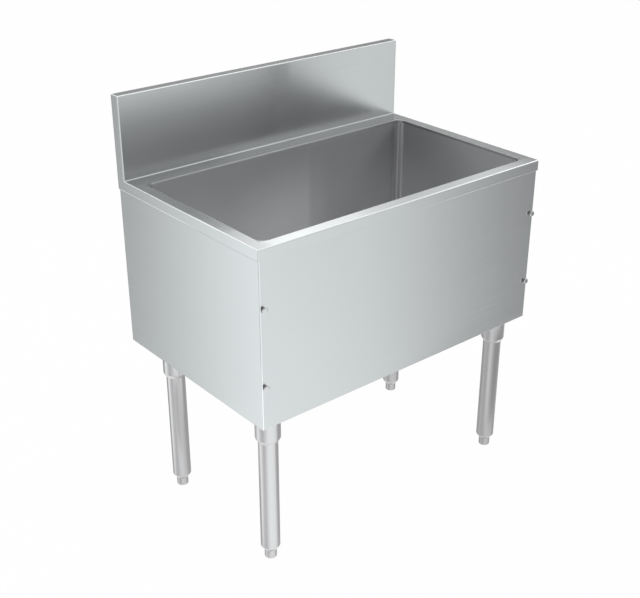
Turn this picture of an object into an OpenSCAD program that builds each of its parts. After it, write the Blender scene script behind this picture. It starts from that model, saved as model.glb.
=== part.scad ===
// Insulated underbar ice bin on four legs.
// The frame's origin is on the floor under the middle of the deck: +X to the bin's right hand,
// -Y to the bartender, +Y to the wall, +Z up. Sizes are in millimetres.

/* [Overall] */
// Width of the deck
unit_w = 762; // [600:1:1220]
// Depth of the deck, from its front edge to the wall
unit_d = 483; // [440:1:620]
// Height of the deck above the floor
deck_z = 737; // [700:1:860]
// Height of the backsplash above the deck
splash_h = 179; // [80:1:300]
// Depth of the backsplash box
splash_t = 25; // [18:0.5:38]
// Height of the band that the deck's edge is turned down to
band_h = 24; // [18:1:50]
// Height of the body, from the deck to the lower edge of the skirt
body_h = 381; // [340:1:430]

/* [Sheet metal] */
// Thickness of the deck's sheet
deck_t = 1.5; // [1:0.1:1.8]
// Thickness of the wrapper, rear and bottom sheets
skin_t = 1.2; // [0.8:0.1:1.8]
// Thickness of the liner's sheet
liner_t = 1.2; // [0.8:0.1:1.8]
// Thickness of the leg channels' sheet
channel_t = 2; // [1.5:0.1:3]
// Outside radius of a folded edge
bend_r = 2; // [2:0.1:4]
// Outside radius of the wrapper's two front corners
corner_bend_r = 3; // [2.5:0.1:6]
// Radius of the cove between the deck and the backsplash
cove_deck_r = 1.5; // [1:0.5:10]
// Radius of the outer edge along the bottom of the band
band_edge_r = 1.2; // [0.4:0.1:1.4]
// Height of the hem that is turned down behind the backsplash
splash_hem = 13; // [8:1:30]
// Width of the hem along the lower edge of the skirt
skirt_hem = 15; // [8:0.5:18]
// Width of the wrapper's returns at the wall
rear_return = 20; // [10:1:40]
// Width of the flanges of the rear and bottom panels
panel_flange = 15; // [8:1:18]
// Gap between the deck's band and the wrapper
band_gap = 0.5; // [0.3:0.1:0.8]
// Gap between two pieces that are laid together
fit_gap = 0.3; // [0.2:0.05:0.4]

/* [Bin] */
// Thickness of the insulated wall, from the wrapper's outside to the liner's inside
wall_t = 25; // [22:0.5:45]
// Depth of the pipe chase between the rear panel and the wall
chase_d = 46; // [36:1:90]
// Height of the bin's floor at its walls above the lower edge of the skirt
floor_rise = 76; // [70:1:120]
// Radius of the liner's upright corners
corner_r = 19; // [18:0.5:40]
// Radius of the cove between the liner's walls and floor
cove_r = 16; // [8:0.5:16.5]
// Fall of the liner's floor to the drain
floor_fall = 6; // [3:0.5:10]
// Thickness of the foam under the drain's seat
foam_under = 25; // [20:1:32]
// Radius of the rolled edge round the bin's mouth
lip_r = 2; // [2:0.1:5]
// Depth of the deck's lip at the bin's mouth
lip_drop = 6; // [5.5:0.5:10]

/* [Drain] */
// Distance from the liner's rear wall to the middle of the drain
drain_from_rear = 110; // [105:1:170]
// Outside radius of the drain's tail
tail_r = 16.7; // [14:0.1:17.5]
// Wall of the drain's tail
tail_wall = 3.4; // [2.5:0.1:4.5]
// Outside radius of the threaded barrel above the tail
barrel_r = 18; // [17.8:0.1:19]
// How far the tail reaches below the skirt
tail_drop = 6; // [0:1:20]
// Radius of the drain's flange
drain_flange_r = 32; // [31:0.5:38]
// Thickness of the drain's flange
drain_flange_t = 2.6; // [2.4:0.1:4]
// Radius of the strainer
strainer_r = 23.7; // [22.5:0.1:26]
// Thickness of the strainer
strainer_t = 1.2; // [0.8:0.1:1.6]
// Radius of the strainer's holes
strainer_hole_r = 1.9; // [1:0.1:2.2]
// Across the flats of the drain's locknut
locknut_af = 50; // [44:1:54]
// Thickness of the drain's locknut
locknut_t = 9; // [6:0.5:11]

/* [Legs] */
// From the side of the deck to the middle of a leg
leg_inset_x = 49; // [47:0.5:90]
// From the front of the deck to the middle of a front leg
leg_inset_front = 50; // [49:0.5:70]
// From the wall to the middle of a rear leg
leg_inset_rear = 95; // [92:0.5:120]
// Outside diameter of a leg tube
leg_od = 41.3; // [36:0.1:42.5]
// Wall of a leg tube
leg_wall = 1.5; // [1:0.1:2.5]
// Height of a leg channel
channel_h = 25; // [20:0.5:26]
// Width of a leg channel
channel_w = 84; // [82:0.5:88]
// Width of a socket's mounting plate
plate_w = 80; // [78:0.5:82]
// Thickness of a socket's mounting plate
plate_t = 4; // [3:0.1:5]
// Diameter of a socket's barrel
socket_od = 52.8; // [50.5:0.1:54]
// How far a socket reaches below the skirt
socket_drop = 64; // [40:1:90]
// Height of the taper at a socket's mouth
socket_taper_h = 9; // [5:0.5:14]
// Radial clearance of a leg tube in its socket
socket_gap = 0.25; // [0.15:0.05:0.3]

/* [Feet] */
// Height of the foot's pad
pad_h = 20.5; // [14:0.5:26]
// Diameter of the foot's pad
pad_d = 26; // [23:0.1:27]
// Radius of the pad's lower edge
pad_edge_r = 2; // [1:0.5:5.5]
// Height of the foot insert's taper
bullet_h = 11.5; // [8:0.5:16]
// Length of the foot insert's plug inside the tube
plug_h = 30; // [24:1:45]
// Diameter of the foot's threaded stem
stem_d = 15.8; // [12:0.1:17]
// How far a foot screws out
foot_travel = 25; // [15:1:35]
// Length of stem that stays in the insert when the foot is right out
stem_hold = 12; // [8:1:20]
// Radial clearance of the stem in the insert
stem_gap = 0.1; // [0.05:0.01:0.12]

/* [Rail studs] */
// From the side of the deck to the middle of a stud
stud_inset = 10.5; // [10.4:0.1:30]
// From the deck to the upper pair of studs
stud_upper = 122; // [60:1:140]
// Distance between the upper and lower pairs
stud_pitch = 165; // [80:1:190]
// Diameter of a stud's head
stud_head_d = 12; // [9:0.1:13.5]
// Thickness of a stud's head
stud_head_t = 3; // [2.5:0.1:5]
// Diameter of a stud's shank
stud_d = 6; // [5:0.1:6.4]
// Space under a stud's head for the rail's bracket
stud_standoff = 3.6; // [2:0.1:6]
// Across the flats of a stud's nut
stud_nut_af = 10; // [9:0.1:10]
// Thickness of a stud's nut
stud_nut_t = 5.5; // [3:0.1:7]

/* [Hidden] */

$fn = 64;
past = 5;                                      // how far a cut runs past the face that it opens
nut_gap = 0.1;                                 // radial clearance in a nut
steel = [0.78, 0.79, 0.79];
bright_steel = [0.72, 0.72, 0.73];
dull_steel = [0.62, 0.63, 0.64];
foam_colour = [0.93, 0.87, 0.68];
rubber_colour = [0.1, 0.1, 0.1];

// Deck and backsplash
deck_x = unit_w / 2;
deck_y = unit_d / 2;
splash_y = deck_y - splash_t;
splash_top = deck_z + splash_h;
deck_under = deck_z - deck_t;

// Wrapper, rear panel and bottom panel
skin_x = deck_x - deck_t - band_gap;
skin_front = -deck_y + deck_t + band_gap;
skirt_z = deck_z - body_h;
panel_x = skin_x - skin_t - fit_gap;
panel_front = skin_front + skin_t + fit_gap;
rear_y = deck_y - chase_d;                     // outside face of the rear panel
rear_inside = rear_y - skin_t - fit_gap;

// Liner
bin_low = [-skin_x + wall_t, skin_front + wall_t];
bin_high = [skin_x - wall_t, rear_y - wall_t];
lip_z = deck_z - lip_drop;                     // where the deck's lip meets the liner
floor_z = skirt_z + floor_rise;                // floor at the walls
seat_z = floor_z - floor_fall;                 // floor at the drain
seat_r = drain_flange_r + 6;
drain_y = bin_high[1] - drain_from_rear;
floor_edge = 1;                                // flat strip between the cove and the sloping floor

// Bottom panel and leg channels
bottom_top = seat_z - liner_t - foam_under;    // upper face of the bottom panel
bottom_under = bottom_top - skin_t;
channel_x = panel_x - bend_r - fit_gap;
channel_under = bottom_under - channel_h;
plate_under = channel_under - plate_t;

// Drain
gasket_t = 1.5;
gasket_r = drain_flange_r - 1;
throat_r = barrel_r + 3.4;                     // outside of the drain's throat, above its barrel
throat_h = 14;
throat_mouth_r = throat_r - 2.7;
strainer_ledge = 0.2;
drain_top = seat_z + gasket_t + drain_flange_t;
drain_bore = tail_r - tail_wall;
washer_t = 2;
washer_r = locknut_af / 2 + 3;
barrel_low = bottom_under - washer_t - locknut_t - 4;
tail_low = skirt_z - tail_drop;
hole_ring_step = 5.6;                          // pitch of the strainer's rings of holes

// Legs
leg_x = deck_x - leg_inset_x;
leg_front_y = -deck_y + leg_inset_front;
leg_rear_y = deck_y - leg_inset_rear;
leg_r = leg_od / 2;
tube_in = leg_r - leg_wall;
socket_r = socket_od / 2;
socket_bore = leg_r + socket_gap;
socket_low = skirt_z - socket_drop;
socket_mouth = socket_bore + 0.7;              // outside radius of the taper's lower end
socket_roof = plate_under - 1;                 // where the tube's bore ends under the plate
weld_r = 4;
bolt_offset = plate_w / 2 - 10;
bolt_r = 4;
bolt_hole_r = bolt_r + 0.3;
bolt_head_af = 13;
bolt_head_t = 5.3;
bolt_nut_t = 6.5;
screw_r = 4;
screw_z = socket_low + socket_taper_h + 24;
screw_gap = 0.1;

// Feet
tube_low = pad_h + bullet_h;
pad_gap = 0.3;                                 // between the pad and the insert when the foot is right in
insert_foot_r = pad_d / 2 + 0.7;               // lower end of the insert's taper
plug_r = tube_in - 0.15;
bullet_edge_r = 5;                             // rounding between the tube and the taper
stem_r = stem_d / 2;
stem_top = pad_h + foot_travel + stem_hold;

// Rail studs
stud_x = deck_x - stud_inset;
stud_z = [deck_z - stud_upper, deck_z - stud_upper - stud_pitch];
stud_r = stud_d / 2;
stud_end = skin_front + skin_t + stud_nut_t + 3;
stud_dome = 0.8;                               // height of the head's dome

// Points of an arc from angle a0 to a1 about c
function arc(c, r, a0, a1, n = 8) =
    [for (i = [0 : n]) c + r * [cos(a0 + (a1 - a0) * i / n), sin(a0 + (a1 - a0) * i / n)]];

// Radius of a hexagon's corners from its width across the flats
function hex_r(across) = across / 2 / cos(30);

// Rectangle from low to high; r is the radius of its corners, from low-low round to low-high
module rounded_rect(low, high, r = [0, 0, 0, 0]) {
    corners = [
        [low, [1, 1]],
        [[high[0], low[1]], [-1, 1]],
        [high, [-1, -1]],
        [[low[0], high[1]], [1, -1]]
    ];
    difference() {
        translate(low) square(high - low);
        for (i = [0 : 3]) {
            if (r[i] > 0)
                translate(corners[i][0]) toward(corners[i][1]) corner_waste(r[i]);
        }
    }
}

// Plan of the bin's inside, larger all round by margin
module bin_outline(margin) {
    rounded_rect(
        bin_low - [margin, margin], bin_high + [margin, margin],
        [for (corner = [0 : 3]) corner_r + margin]
    );
}

// Waste outside a quarter circle of radius r, in the corner at the origin
module corner_waste(r) {
    difference() {
        translate([-past, -past]) square(r + past);
        translate([r, r]) circle(r);
    }
}

// Turns a corner drawn in the first quadrant into the quadrant that s points to
module toward(s) {
    mirror([s[0] < 0 ? 1 : 0, 0]) mirror([0, s[1] < 0 ? 1 : 0]) children();
}

// Extrudes a shape drawn in Y and Z from x0 to x1
module along_x(x0, x1) {
    translate([x0, 0, 0]) rotate([90, 0, 90]) linear_extrude(x1 - x0) children();
}

// Extrudes a shape drawn in X and Z from y0 to y1
module along_y(y0, y1) {
    translate([0, y1, 0]) rotate([90, 0, 0]) linear_extrude(y1 - y0) children();
}

// Extrudes a shape drawn in X and Y from z0 to z1
module along_z(z0, z1) {
    translate([0, 0, z0]) linear_extrude(z1 - z0) children();
}

// Box with rounded edges: yz, xz and xy are the corner radii of its end, front and plan outlines
module folded_box(low, high, yz = [0, 0, 0, 0], xz = [0, 0, 0, 0], xy = [0, 0, 0, 0]) {
    intersection() {
        along_x(low[0], high[0]) rounded_rect([low[1], low[2]], [high[1], high[2]], yz);
        along_y(low[1], high[1]) rounded_rect([low[0], low[2]], [high[0], high[2]], xz);
        along_z(low[2], high[2]) rounded_rect([low[0], low[1]], [high[0], high[1]], xy);
    }
}

// Sweeps a profile round a rectangle with corner radius r; the profile's X is 0 on the line and grows outward
module sweep_round(low, high, r) {
    run_x = high[0] - low[0] - 2 * r;
    run_y = high[1] - low[1] - 2 * r;
    sides = [
        [[high[0] - r, high[1] - r], 0, run_y],
        [[low[0] + r, high[1] - r], 90, run_x],
        [[low[0] + r, low[1] + r], 180, run_y],
        [[high[0] - r, low[1] + r], 270, run_x]
    ];
    for (side = sides) {
        translate(side[0]) rotate(side[1]) {
            rotate_extrude(angle = 90) translate([r, 0]) children();
            rotate([90, 0, 0]) linear_extrude(side[2]) translate([r, 0]) children();
        }
    }
}

// Deck, turned-down band and backsplash, folded and welded from one sheet

module deck_and_splash() {
    inner_r = bend_r - deck_t;
    outer_edges = [band_edge_r, band_edge_r, bend_r, bend_r];
    open_back_h = splash_h + band_h - deck_t - splash_hem;
    color(steel) {
        difference() {
            union() {
                folded_box(
                    [-deck_x, -deck_y, deck_z - band_h], [deck_x, deck_y, deck_z],
                    yz = [band_edge_r, 0, 0, bend_r], xz = outer_edges, xy = [bend_r, bend_r, 0, 0]
                );
                folded_box(
                    [-deck_x, splash_y, deck_z - band_h], [deck_x, deck_y, splash_top],
                    yz = [0, 0, bend_r, bend_r], xz = outer_edges, xy = [bend_r, bend_r, 0, 0]
                );
                // cove between the deck and the splash
                along_x(-deck_x, deck_x) translate([splash_y, deck_z]) mirror([1, 0]) cove(cove_deck_r);
            }
            // room under the deck
            folded_box(
                [-deck_x + deck_t, -deck_y + deck_t, deck_z - band_h - past],
                [deck_x - deck_t, splash_y + deck_t, deck_under],
                yz = [0, 0, 0, inner_r], xz = [0, 0, inner_r, inner_r], xy = [inner_r, inner_r, 0, 0]
            );
            // outside of the fold between the deck and the splash
            along_x(-deck_x + deck_t, deck_x - deck_t)
                translate([splash_y + deck_t, deck_under]) mirror([1, 0]) cove(cove_deck_r + deck_t);
            // room inside the splash, open to the wall below its hem
            folded_box(
                [-deck_x + deck_t, splash_y + deck_t, deck_z - band_h - past],
                [deck_x - deck_t, deck_y - deck_t, splash_top - deck_t],
                yz = [0, 0, inner_r, inner_r], xz = [0, 0, inner_r, inner_r]
            );
            translate([-deck_x + deck_t, deck_y - deck_t - past, deck_z - band_h - past])
                cube([2 * (deck_x - deck_t), deck_t + 2 * past, open_back_h + past]);
            // the bin's mouth
            along_z(deck_under - past, deck_z + past) bin_outline(lip_r);
        }
        sweep_round(bin_low, bin_high, corner_r) rolled_lip();
    }
}

// Fills the corner at the origin with a concave quarter circle of radius r
module cove(r) {
    difference() {
        square(r);
        translate([r, r]) circle(r);
    }
}

// Section of the rolled edge, from the deck's face down to where the liner is welded on
module rolled_lip() {
    translate([0, lip_z]) square([deck_t, lip_drop - lip_r]);
    intersection() {
        translate([0, deck_z - lip_r]) square(lip_r);
        translate([lip_r, deck_z - lip_r]) difference() {
            circle(lip_r);
            circle(lip_r - deck_t);
        }
    }
}

// Front and sides of the body, wrapped from one sheet with hems below and returns at the wall

module outer_wrapper() {
    inner_r = bend_r - skin_t;
    corner_in = corner_bend_r - skin_t;
    color(steel) difference() {
        folded_box(
            [-skin_x, skin_front, skirt_z], [skin_x, deck_y, deck_under - fit_gap],
            yz = [bend_r, 0, 0, 0], xz = [bend_r, bend_r, 0, 0],
            xy = [corner_bend_r, corner_bend_r, bend_r, bend_r]
        );
        folded_box(
            [-skin_x + skin_t, skin_front + skin_t, skirt_z + skin_t],
            [skin_x - skin_t, deck_y - skin_t, deck_under + past],
            yz = [inner_r, 0, 0, 0], xz = [inner_r, inner_r, 0, 0],
            xy = [corner_in, corner_in, inner_r, inner_r]
        );
        // open underside
        translate([-skin_x + skirt_hem, skin_front + skirt_hem, skirt_z - past])
            cube([2 * (skin_x - skirt_hem), unit_d, skin_t + 2 * past]);
        // open back, between the two returns
        translate([-skin_x + rear_return, deck_y - skin_t - past, skirt_z - past])
            cube([2 * (skin_x - rear_return), skin_t + 2 * past, body_h + past]);
        at_studs() cylinder(h = 4 * past, r = stud_r + fit_gap, center = true);
    }
}

// Rear wall of the insulated body, with a flange down each side

module rear_panel() {
    inner_r = bend_r - skin_t;
    low_z = bottom_top - panel_flange;
    color(steel) difference() {
        folded_box(
            [-panel_x, rear_y - skin_t, low_z], [panel_x, rear_y - skin_t + panel_flange, deck_under],
            xy = [bend_r, bend_r, 0, 0]
        );
        folded_box(
            [-panel_x + skin_t, rear_y, low_z - past],
            [panel_x - skin_t, rear_y + panel_flange, deck_under + past],
            xy = [inner_r, inner_r, 0, 0]
        );
    }
}

// Floor of the body, a shallow pan turned upside down

module bottom_panel() {
    inner_r = bend_r - skin_t;
    low_z = bottom_top - panel_flange;
    color(steel) difference() {
        folded_box(
            [-panel_x, panel_front, low_z], [panel_x, rear_inside, bottom_top],
            yz = [0, 0, bend_r, bend_r], xz = [0, 0, bend_r, bend_r], xy = [bend_r, bend_r, bend_r, bend_r]
        );
        folded_box(
            [-panel_x + skin_t, panel_front + skin_t, low_z - past],
            [panel_x - skin_t, rear_inside - skin_t, bottom_under],
            yz = [0, 0, inner_r, inner_r], xz = [0, 0, inner_r, inner_r],
            xy = [inner_r, inner_r, inner_r, inner_r]
        );
        at_drain(bottom_under) cylinder(h = 4 * past, r = barrel_r + fit_gap, center = true);
    }
}

// Liner: upright walls with round corners, a coved foot and a floor that falls to the drain

module bin_liner() {
    color(bright_steel) difference() {
        union() {
            sweep_round(bin_low, bin_high, corner_r) liner_wall();
            difference() {
                sloping_floor(floor_z - liner_t, seat_z - liner_t, liner_t);
                sloping_floor(floor_z, seat_z, past);
            }
        }
        at_drain(seat_z) cylinder(h = 4 * past, r = throat_r + fit_gap, center = true);
    }
}

// Section of the liner's wall, its cove and a flat strip of floor
module liner_wall() {
    translate([0, floor_z + cove_r]) square([liner_t, lip_z - floor_z - cove_r]);
    intersection() {
        translate([-cove_r, floor_z - liner_t]) square(cove_r + liner_t);
        translate([-cove_r, floor_z + cove_r]) difference() {
            circle(cove_r + liner_t);
            circle(cove_r);
        }
    }
    translate([-cove_r - 2 * floor_edge, floor_z - liner_t]) square([2 * floor_edge, liner_t]);
}

// Solid from the floor's outline at edge_z down to a disc round the drain at drain_z, with an edge rise high
module sloping_floor(edge_z, drain_z, rise) {
    inset = cove_r + floor_edge;
    hull($fn = 32) {
        along_z(edge_z, edge_z + rise) bin_outline(-inset);
        at_drain(drain_z) cylinder(h = rise, r = seat_r);
    }
}

// Foam poured between the liner and the outer sheets

module foam_insulation() {
    around = liner_t + fit_gap;
    plan_r = corner_r + around;
    foot_r = cove_r + around;
    color(foam_colour) difference() {
        along_z(bottom_top + fit_gap, deck_under - fit_gap)
            rounded_rect([-panel_x, panel_front], [panel_x, rear_inside], [corner_bend_r, corner_bend_r, 0, 0]);
        folded_box(
            [bin_low[0] - around, bin_low[1] - around, floor_z - around],
            [bin_high[0] + around, bin_high[1] + around, lip_z],
            yz = [foot_r, foot_r, 0, 0], xz = [foot_r, foot_r, 0, 0], xy = [plan_r, plan_r, plan_r, plan_r]
        );
        // room for the deck's lip
        along_z(lip_z - past, deck_z) bin_outline(lip_r);
        sloping_floor(floor_z - around, seat_z - around, past);
        at_drain(bottom_top - past) cylinder(h = foam_under + 4 * past, r = throat_r + 1);
        // room for the studs' nuts
        at_studs() rotate([180, 0, 0]) cylinder(h = stud_end - skin_front + 1, r = hex_r(stud_nut_af) + 1);
    }
}

// Drain: flanged body, gasket, washer, locknut and lift-out strainer

module at_drain(z) {
    translate([0, drain_y, z]) children();
}

module drain_body() {
    flange_low = seat_z + gasket_t;
    recess_z = drain_top - strainer_t - strainer_ledge;
    throat_low = flange_low - throat_h;
    recess_r = strainer_r + fit_gap;
    color(bright_steel) at_drain(0) rotate_extrude() polygon(concat(
        [[drain_bore, tail_low], [tail_r, tail_low], [tail_r, barrel_low], [barrel_r, barrel_low + 1]],
        [[barrel_r, throat_low - 3], [throat_r, throat_low]],
        [[throat_r, flange_low], [drain_flange_r, flange_low]],
        arc([drain_flange_r - 1.2, drain_top - 1.2], 1.2, 0, 90, 4),
        [[recess_r, drain_top], [recess_r, recess_z], [throat_mouth_r, recess_z]],
        [[drain_bore, throat_low]]
    ));
}

module drain_gasket() {
    color(rubber_colour) at_drain(seat_z) difference() {
        cylinder(h = gasket_t, r = gasket_r);
        translate([0, 0, -past]) cylinder(h = gasket_t + 2 * past, r = throat_r + fit_gap);
    }
}

module drain_washer() {
    color(rubber_colour) at_drain(bottom_under - washer_t) difference() {
        cylinder(h = washer_t, r = washer_r);
        translate([0, 0, -past]) cylinder(h = washer_t + 2 * past, r = barrel_r + fit_gap);
    }
}

module drain_locknut() {
    color(dull_steel) at_drain(bottom_under - washer_t - locknut_t) difference() {
        hex_nut(locknut_af, locknut_t);
        translate([0, 0, -past]) cylinder(h = locknut_t + 2 * past, r = barrel_r + nut_gap);
    }
}

// Strainer: flat disc with rings of holes, set in the drain's flange

module drain_strainer() {
    rings = floor((strainer_r - 2 * strainer_hole_r) / hole_ring_step);
    color(bright_steel) at_drain(drain_top - strainer_t) difference() {
        cylinder(h = strainer_t, r = strainer_r);
        translate([0, 0, -past]) cylinder(h = strainer_t + 2 * past, r = strainer_hole_r);
        for (ring = [1 : rings], hole = [0 : 6 * ring - 1])
            rotate(60 * hole / ring) translate([ring * hole_ring_step, 0, -past])
                cylinder(h = strainer_t + 2 * past, r = strainer_hole_r, $fn = 24);
    }
}

// Hexagonal nut blank with its upper and lower corners turned off
module hex_nut(across, h) {
    bevel = (hex_r(across) - across / 2) * 0.8;
    intersection() {
        cylinder(h = h, r = hex_r(across), $fn = 6);
        rotate_extrude() polygon([
            [0, 0], [across / 2, 0], [across / 2 + bevel, bevel / 1.7],
            [across / 2 + bevel, h - bevel / 1.7], [across / 2, h], [0, h]
        ]);
    }
}

// Leg channels: two trays under the body, open upward, that carry the sockets

module leg_channel(y) {
    color(steel) difference() {
        folded_box(
            [-channel_x, y - channel_w / 2, channel_under], [channel_x, y + channel_w / 2, bottom_under],
            yz = [bend_r + channel_t, bend_r + channel_t, 0, 0]
        );
        folded_box(
            [-channel_x - past, y - channel_w / 2 + channel_t, channel_under + channel_t],
            [channel_x + past, y + channel_w / 2 - channel_t, bottom_under + past],
            yz = [bend_r, bend_r, 0, 0]
        );
        for (x = [-leg_x, leg_x])
            translate([x, y, 0]) at_plate_bolts() cylinder(h = 4 * past, r = bolt_hole_r, center = true);
    }
}

// The four bolt places of a socket's plate, on the lower face of the channel
module at_plate_bolts() {
    for (dx = [-bolt_offset, bolt_offset], dy = [-bolt_offset, bolt_offset])
        translate([dx, dy, channel_under]) children();
}

// Leg socket: mounting plate, filleted barrel with a tapered mouth, and a set screw's hole at the back

module leg_socket(x, y) {
    half = plate_w / 2;
    color(dull_steel) translate([x, y, 0]) difference() {
        union() {
            along_z(plate_under, channel_under) rounded_rect([-half, -half], [half, half], [8, 8, 8, 8]);
            rotate_extrude() polygon(concat(
                [[0, plate_under + 1], [0, socket_low + 1], [socket_mouth, socket_low]],
                arc([socket_r - 2, socket_low + socket_taper_h + 0.6], 2, -35, 0, 3),
                arc([socket_r + weld_r, plate_under - weld_r], weld_r, 180, 90, 5),
                [[socket_r + weld_r, plate_under + 1]]
            ));
        }
        translate([0, 0, socket_low - past]) cylinder(h = socket_roof - socket_low + past, r = socket_bore);
        at_plate_bolts() cylinder(h = 4 * past, r = bolt_hole_r, center = true);
        at_screw() cylinder(h = 2 * socket_r, r = screw_r + screw_gap);
    }
}

// Line of the set screw, from the leg's middle out to the wall side
module at_screw() {
    translate([0, 0, screw_z]) rotate([-90, 0, 0]) children();
}

module socket_set_screws() {
    tip = leg_r + screw_gap;
    length = socket_r - tip + 0.6;
    color(dull_steel) at_legs() at_screw() translate([0, 0, tip]) difference() {
        cylinder(h = length, r = screw_r);
        translate([0, 0, length - 3]) cylinder(h = 3 + past, r = 2.3, $fn = 6);
    }
}

module socket_bolts() {
    color(dull_steel) at_legs() at_plate_bolts() {
        translate([0, 0, -plate_t - bolt_head_t]) hex_nut(bolt_head_af, bolt_head_t);
        translate([0, 0, -plate_t - 0.5]) cylinder(h = plate_t + channel_t + bolt_nut_t + 3.5, r = bolt_r);
    }
}

module socket_nuts() {
    color(dull_steel) at_legs() at_plate_bolts() translate([0, 0, channel_t]) difference() {
        hex_nut(bolt_head_af, bolt_nut_t);
        translate([0, 0, -past]) cylinder(h = bolt_nut_t + 2 * past, r = bolt_r + nut_gap);
    }
}

// The four legs' places
module at_legs() {
    for (x = [-leg_x, leg_x], y = [leg_front_y, leg_rear_y])
        translate([x, y, 0]) children();
}

// Leg tube, from the foot insert's shoulder up into the socket

module leg_tube(x, y) {
    top = socket_roof - 2;
    color(steel) translate([x, y, tube_low]) difference() {
        cylinder(h = top - tube_low, r = leg_r);
        translate([0, 0, -past]) cylinder(h = top - tube_low + 2 * past, r = tube_in);
    }
}

// Foot insert: plug in the tube's end, and the bullet-shaped taper below it

module foot_insert(x, y) {
    slope = atan2(bullet_h, leg_r - insert_foot_r);
    color(bright_steel) translate([x, y, 0]) rotate_extrude() polygon(concat(
        [[stem_r + stem_gap, pad_h], [insert_foot_r, pad_h]],
        arc([leg_r - bullet_edge_r, tube_low], bullet_edge_r, slope - 90, 0, 5),
        [[plug_r, tube_low], [plug_r, tube_low + plug_h - 1.5], [plug_r - 1.5, tube_low + plug_h]],
        [[stem_r + stem_gap, tube_low + plug_h]]
    ));
}

// Adjustable foot: pad with a round lower edge on a threaded stem

module foot(x, y) {
    pad_r = pad_d / 2;
    pad_top = pad_h - pad_gap;
    color(bright_steel) translate([x, y, 0]) rotate_extrude() polygon(concat(
        [[0, 0]],
        arc([pad_r - pad_edge_r, pad_edge_r], pad_edge_r, -90, 0, 6),
        [[pad_r, pad_top - 0.6], [pad_r - 0.6, pad_top], [stem_r, pad_top]],
        [[stem_r, stem_top - 1.2], [stem_r - 1.2, stem_top], [0, stem_top]]
    ));
}

// Studs on the front that carry a bottle rail, with their nuts behind the sheet

module at_studs() {
    for (x = [-stud_x, stud_x], z = stud_z)
        translate([x, skin_front, z]) rotate([90, 0, 0]) children();
}

module rail_studs() {
    head_r = stud_head_d / 2;
    top = stud_standoff + stud_head_t;
    color(dull_steel) at_studs() rotate_extrude() polygon([
        [0, skin_front - stud_end], [stud_r, skin_front - stud_end],
        [stud_r, stud_standoff], [head_r, stud_standoff],
        [head_r, top - stud_dome], [head_r - 0.5 * stud_dome, top - 0.35 * stud_dome],
        [head_r - 1.7 * stud_dome, top], [0, top]
    ]);
}

module rail_stud_nuts() {
    color(dull_steel) at_studs() translate([0, 0, -skin_t - stud_nut_t]) difference() {
        rotate(30) hex_nut(stud_nut_af, stud_nut_t);
        translate([0, 0, -past]) cylinder(h = stud_nut_t + 2 * past, r = stud_r + nut_gap);
    }
}

deck_and_splash();
outer_wrapper();
rear_panel();
bottom_panel();
bin_liner();
foam_insulation();
drain_body();
drain_gasket();
drain_washer();
drain_locknut();
drain_strainer();
leg_channel(leg_front_y);  // leg_channel_front
leg_channel(leg_rear_y);  // leg_channel_rear
leg_socket(-leg_x, leg_front_y);  // leg_socket_front_left
leg_socket(leg_x, leg_front_y);  // leg_socket_front_right
leg_socket(-leg_x, leg_rear_y);  // leg_socket_rear_left
leg_socket(leg_x, leg_rear_y);  // leg_socket_rear_right
leg_tube(-leg_x, leg_front_y);  // leg_tube_front_left
leg_tube(leg_x, leg_front_y);  // leg_tube_front_right
leg_tube(-leg_x, leg_rear_y);  // leg_tube_rear_left
leg_tube(leg_x, leg_rear_y);  // leg_tube_rear_right
foot_insert(-leg_x, leg_front_y);  // foot_insert_front_left
foot_insert(leg_x, leg_front_y);  // foot_insert_front_right
foot_insert(-leg_x, leg_rear_y);  // foot_insert_rear_left
foot_insert(leg_x, leg_rear_y);  // foot_insert_rear_right
foot(-leg_x, leg_front_y);  // foot_front_left
foot(leg_x, leg_front_y);  // foot_front_right
foot(-leg_x, leg_rear_y);  // foot_rear_left
foot(leg_x, leg_rear_y);  // foot_rear_right
socket_bolts();
socket_nuts();
socket_set_screws();
rail_studs();
rail_stud_nuts();
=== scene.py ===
"""Dresses the packed ice bin with its finishes, threads and welds, and adds the stage and the camera."""

import math

import bmesh
import bpy
from bpy.props import FloatProperty, FloatVectorProperty, PointerProperty
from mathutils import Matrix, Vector


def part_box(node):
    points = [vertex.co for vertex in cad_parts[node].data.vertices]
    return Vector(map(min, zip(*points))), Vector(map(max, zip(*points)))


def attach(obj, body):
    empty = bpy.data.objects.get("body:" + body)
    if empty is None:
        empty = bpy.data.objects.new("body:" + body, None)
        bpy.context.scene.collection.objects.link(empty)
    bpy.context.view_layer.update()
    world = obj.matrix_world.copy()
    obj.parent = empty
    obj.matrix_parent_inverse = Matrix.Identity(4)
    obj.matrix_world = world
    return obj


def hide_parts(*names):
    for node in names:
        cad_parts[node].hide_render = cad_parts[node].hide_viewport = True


bl_info = {
    "name": "Insulated ice bin",
    "version": (1, 0, 0),
    "blender": (4, 5, 0),
    "location": "3D View > Sidebar > Ice Bin",
    "description": "Finishes, small pieces and a studio stage for an insulated underbar ice bin",
    "category": "Object",
}

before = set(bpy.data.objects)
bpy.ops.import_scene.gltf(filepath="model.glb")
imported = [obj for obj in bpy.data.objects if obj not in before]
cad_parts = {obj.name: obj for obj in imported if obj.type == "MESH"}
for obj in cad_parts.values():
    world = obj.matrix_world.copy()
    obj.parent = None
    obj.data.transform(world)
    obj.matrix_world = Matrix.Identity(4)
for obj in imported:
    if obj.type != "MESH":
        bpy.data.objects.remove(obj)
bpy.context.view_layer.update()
MM = 0.001
CORNERS = ("front_left", "front_right", "rear_left", "rear_right")
CHANNELS = ("leg_channel_front", "leg_channel_rear")
WHITE = (1, 1, 1, 1)

# How far a steel's grain moves its colour, and how far its grain and its wear move its roughness
GRAIN_CONTRAST = 0.05
GRAIN_ROUGHNESS = 0.05
WEAR_ROUGHNESS = 0.03

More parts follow.
